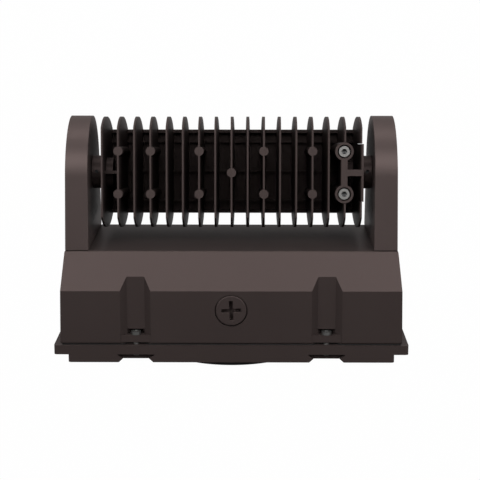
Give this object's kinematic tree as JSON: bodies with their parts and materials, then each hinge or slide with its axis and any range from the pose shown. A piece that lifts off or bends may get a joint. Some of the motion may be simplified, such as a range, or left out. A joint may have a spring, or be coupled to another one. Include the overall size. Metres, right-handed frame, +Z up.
{
  "type": "wall pack light",
  "caption": "Adjustable wall pack light: a bevelled housing on a wall plate carries a finned lamp head that tilts between two rounded arms.",
  "frame": {"origin": "centre of the junction box pattern, on the wall's surface behind the gasket", "axes": "+Z up, +Y into the wall, the light stands out towards -Y, +X to the right of someone who stands in front of the light and looks along +Y at it"},
  "size_m": [0.302, 0.2055, 0.14],
  "materials": {
    "bronze": "satin dark bronze powder coat on die-cast aluminium",
    "bronze_plug": "satin dark bronze powder coat on a cast plug",
    "black_rubber": "matt moulded rubber",
    "white_rubber": "matt silicone",
    "steel": "zinc-plated steel",
    "black_steel": "black oxide steel",
    "driver_can": "plain aluminium can",
    "orange_plastic": "matt moulded plastic",
    "white_plastic": "matt moulded plastic",
    "green_screw": "green zinc-plated steel",
    "cable_black": "matt cable sheath",
    "board_white": "white solder mask on an aluminium-backed board",
    "chip_yellow": "phosphor under clear resin",
    "clear_lens": "clear moulded optic"
  },
  "bodies": {
    "base": {"back_plate": "bronze", "wall_gasket": "black_rubber", "cover_gasket": "black_rubber", "housing": "bronze", "cover_screws": "steel", "conduit_plug": "bronze_plug", "plug_seal": "black_rubber", "arm_left": "bronze", "arm_right": "bronze", "arm_seals": "black_rubber", "arm_screws": "steel", "friction_washers": "black_steel", "tilt_lock_screws": "black_steel", "led_driver": "driver_can", "driver_screws": "steel", "surge_protector": "orange_plastic", "terminal_block": "white_plastic", "block_screws": "steel", "ground_screw": "green_screw", "supply_lead": "cable_black", "head_lead": "cable_black"},
    "head": {"heat_sink": "bronze", "pivot_bracket": "bronze", "bracket_screws": "steel", "led_board": "board_white", "led_chips": "chip_yellow", "lens_gasket": "white_rubber", "lens": "clear_lens", "lens_frame": "bronze", "frame_screws": "steel", "lamp_lead": "cable_black"}
  },
  "joints": [
    {"name": "head_tilt", "type": "hinge", "parent": "base", "child": "head", "pos_m": [0, -0.1563, 0], "axis": [-1, 0, 0], "range_deg": [-6.1, 98.9]}
  ]
}
